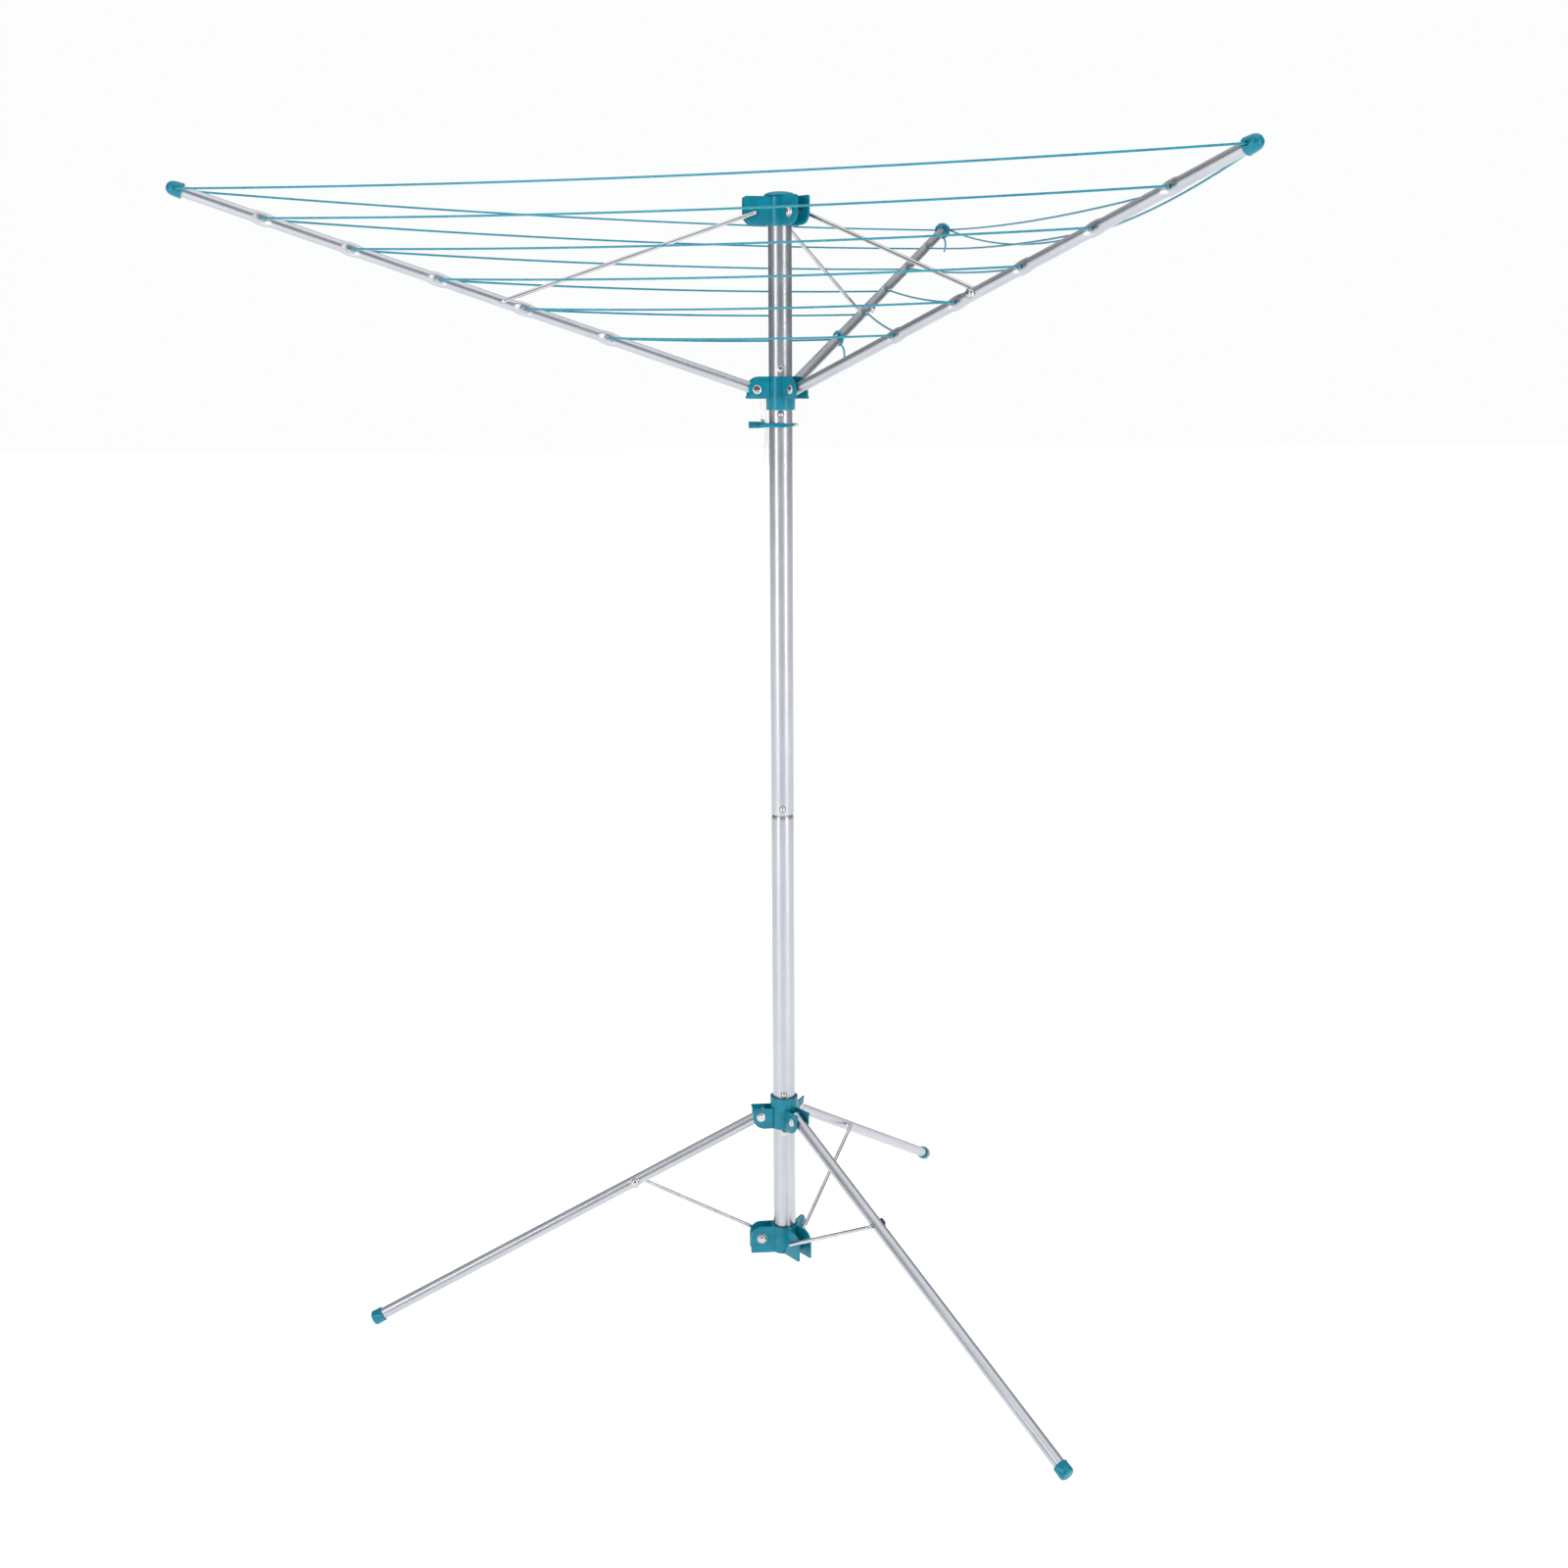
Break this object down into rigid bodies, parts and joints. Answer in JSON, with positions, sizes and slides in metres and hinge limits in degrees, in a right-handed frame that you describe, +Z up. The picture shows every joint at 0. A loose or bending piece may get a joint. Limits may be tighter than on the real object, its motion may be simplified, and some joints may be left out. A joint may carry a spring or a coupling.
{
  "type": "rotary clothesline",
  "caption": "Free-standing rotary clothesline: folding tripod legs, a plugged two-section pole, and rod-braced rising arms strung with a spiral line.",
  "frame": {"origin": "on the ground, on the pole's axis", "axes": "+Z up along the pole; -Y is the front, the side with the snap buttons and stop rivets; +X to the right seen from the front"},
  "size_m": [1.3002, 1.3724, 1.5944],
  "materials": {
    "aluminium_tube": "satin drawn and anodised tube",
    "bright_steel": "bright plated steel wire, caps, rivets and buttons",
    "teal_plastic": "moulded teal polypropylene, satin to gloss",
    "line": "teal plastic-coated clothes line, smooth",
    "tether_cord": "thin braided white string"
  },
  "bodies": {
    "base": {"pole_lower": "aluminium_tube", "hub_base": "teal_plastic", "leg_stop_rivet": "bright_steel"},
    "upper_pole": {"pole_upper": "aluminium_tube", "arm_stop_rivet": "bright_steel"},
    "head": {"hub_top": "teal_plastic", "hub_cap": "teal_plastic", "clothes_line": "line"},
    "rod_1": {"arm_rod_1": "bright_steel", "arm_rod_hub_cap_1": "bright_steel", "arm_rod_arm_cap_1": "bright_steel"},
    "arm_1": {"arm_1": "aluminium_tube", "arm_tip_1": "teal_plastic"},
    "rod_2": {"arm_rod_2": "bright_steel", "arm_rod_hub_cap_2": "bright_steel", "arm_rod_arm_cap_2": "bright_steel"},
    "arm_2": {"arm_2": "aluminium_tube", "arm_tip_2": "teal_plastic"},
    "rod_3": {"arm_rod_3": "bright_steel", "arm_rod_hub_cap_3": "bright_steel", "arm_rod_arm_cap_3": "bright_steel"},
    "arm_3": {"arm_3": "aluminium_tube", "arm_tip_3": "teal_plastic"},
    "slider": {"arm_slider": "teal_plastic", "arm_rivet_1": "bright_steel", "arm_rivet_2": "bright_steel", "arm_rivet_3": "bright_steel", "pin_tether": "tether_cord"},
    "stay_1": {"leg_stay_1": "bright_steel", "leg_stay_hub_cap_1": "bright_steel", "leg_stay_leg_cap_1": "bright_steel"},
    "leg_1": {"leg_1": "aluminium_tube", "foot_1": "teal_plastic"},
    "stay_2": {"leg_stay_2": "bright_steel", "leg_stay_hub_cap_2": "bright_steel", "leg_stay_leg_cap_2": "bright_steel"},
    "leg_2": {"leg_2": "aluminium_tube", "foot_2": "teal_plastic"},
    "stay_3": {"leg_stay_3": "bright_steel", "leg_stay_hub_cap_3": "bright_steel", "leg_stay_leg_cap_3": "bright_steel"},
    "leg_3": {"leg_3": "aluminium_tube", "foot_3": "teal_plastic"},
    "collar": {"leg_collar": "teal_plastic", "leg_rivet_1": "bright_steel", "leg_rivet_2": "bright_steel", "leg_rivet_3": "bright_steel"},
    "slider_snap": {"slider_button": "bright_steel"},
    "collar_snap": {"collar_button": "bright_steel"},
    "pole_snap": {"pole_button": "bright_steel"},
    "pin": {"pin_shaft": "bright_steel", "pin_grip": "teal_plastic"}
  },
  "joints": [
    {"name": "pole_lift", "type": "slide", "parent": "base", "child": "upper_pole", "axis": [0, 0, 1], "range_m": [0, 0.09]},
    {"name": "head_spin", "type": "hinge", "parent": "upper_pole", "child": "head", "pos_m": [0, 0, 1.5584], "axis": [0, 0, 1], "continuous": true},
    {"name": "head_fold", "type": "hinge", "parent": "head", "child": "rod_1", "pos_m": [-0.03357, -0.00541, 1.5584], "axis": [0.159, -0.9873, 0], "range_deg": [0, 68], "deforming": ["clothes_line", "pin_tether"]},
    {"name": "arm_fold_1", "type": "hinge", "parent": "rod_1", "child": "arm_1", "pos_m": [-0.37035, -0.05965, 1.44027], "axis": [0.159, -0.9873, 0], "range_deg": [-136, 0]},
    {"name": "rod_fold_2", "type": "hinge", "parent": "head", "child": "rod_2", "pos_m": [0.02147, -0.02637, 1.5584], "axis": [0.7755, 0.6314, 0], "range_deg": [0, 68]},
    {"name": "arm_fold_2", "type": "hinge", "parent": "rod_2", "child": "arm_2", "pos_m": [0.23684, -0.29091, 1.44027], "axis": [0.7755, 0.6314, 0], "range_deg": [-136, 0]},
    {"name": "rod_fold_3", "type": "hinge", "parent": "head", "child": "rod_3", "pos_m": [0.0121, 0.03177, 1.5584], "axis": [-0.9345, 0.3559, 0], "range_deg": [0, 68]},
    {"name": "arm_fold_3", "type": "hinge", "parent": "rod_3", "child": "arm_3", "pos_m": [0.13352, 0.35056, 1.44027], "axis": [-0.9345, 0.3559, 0], "range_deg": [-136, 0]},
    {"name": "slider_pivot", "type": "hinge", "parent": "arm_1", "child": "slider", "pos_m": [-0.03357, -0.00541, 1.32215], "axis": [0.159, -0.9873, 0], "range_deg": [0, 68]},
    {"name": "tripod_fold", "type": "hinge", "parent": "base", "child": "stay_1", "pos_m": [-0.03383, -0.00341, 0.10483], "axis": [-0.1002, 0.995, 0], "range_deg": [0, 59.3]},
    {"name": "leg_fold_1", "type": "hinge", "parent": "stay_1", "child": "leg_1", "pos_m": [-0.2146, -0.02161, 0.19605], "axis": [-0.1002, 0.995, 0], "range_deg": [-118.6, 0]},
    {"name": "stay_fold_2", "type": "hinge", "parent": "base", "child": "stay_2", "pos_m": [0.01986, -0.02759, 0.10483], "axis": [-0.8116, -0.5842, 0], "range_deg": [0, 59.3]},
    {"name": "leg_fold_2", "type": "hinge", "parent": "stay_2", "child": "leg_2", "pos_m": [0.12601, -0.17505, 0.19605], "axis": [-0.8116, -0.5842, 0], "range_deg": [-118.6, 0]},
    {"name": "stay_fold_3", "type": "hinge", "parent": "base", "child": "stay_3", "pos_m": [0.01396, 0.031, 0.10483], "axis": [0.9118, -0.4107, 0], "range_deg": [0, 59.3]},
    {"name": "leg_fold_3", "type": "hinge", "parent": "stay_3", "child": "leg_3", "pos_m": [0.08859, 0.19665, 0.19605], "axis": [0.9118, -0.4107, 0], "range_deg": [-118.6, 0]},
    {"name": "collar_pivot", "type": "hinge", "parent": "leg_1", "child": "collar", "pos_m": [-0.03383, -0.00341, 0.28727], "axis": [-0.1002, 0.995, 0], "range_deg": [0, 59.3]},
    {"name": "slider_button_press", "type": "slide", "parent": "upper_pole", "child": "slider_snap", "axis": [0, 1, 0], "range_m": [0, 0.0036], "stiffness_N_per_m": 400, "springref_m": -0.001},
    {"name": "collar_button_press", "type": "slide", "parent": "base", "child": "collar_snap", "axis": [0, 1, 0], "range_m": [0, 0.0036], "stiffness_N_per_m": 400, "springref_m": -0.001},
    {"name": "pole_button_press", "type": "slide", "parent": "base", "child": "pole_snap", "axis": [0, 1, 0], "range_m": [0, 0.0036], "stiffness_N_per_m": 400, "springref_m": -0.001},
    {"name": "pin_pull", "type": "slide", "parent": "upper_pole", "child": "pin", "axis": [-1, 0, 0], "range_m": [0, 0.06]}
  ],
  "couplings": [
    {"joint": "arm_fold_1", "follows": "head_fold", "ratio": -2},
    {"joint": "rod_fold_2", "follows": "head_fold", "ratio": 1},
    {"joint": "arm_fold_2", "follows": "head_fold", "ratio": -2},
    {"joint": "rod_fold_3", "follows": "head_fold", "ratio": 1},
    {"joint": "arm_fold_3", "follows": "head_fold", "ratio": -2},
    {"joint": "slider_pivot", "follows": "head_fold", "ratio": 1},
    {"joint": "leg_fold_1", "follows": "tripod_fold", "ratio": -2},
    {"joint": "stay_fold_2", "follows": "tripod_fold", "ratio": 1},
    {"joint": "leg_fold_2", "follows": "tripod_fold", "ratio": -2},
    {"joint": "stay_fold_3", "follows": "tripod_fold", "ratio": 1},
    {"joint": "leg_fold_3", "follows": "tripod_fold", "ratio": -2},
    {"joint": "collar_pivot", "follows": "tripod_fold", "ratio": 1}
  ]
}
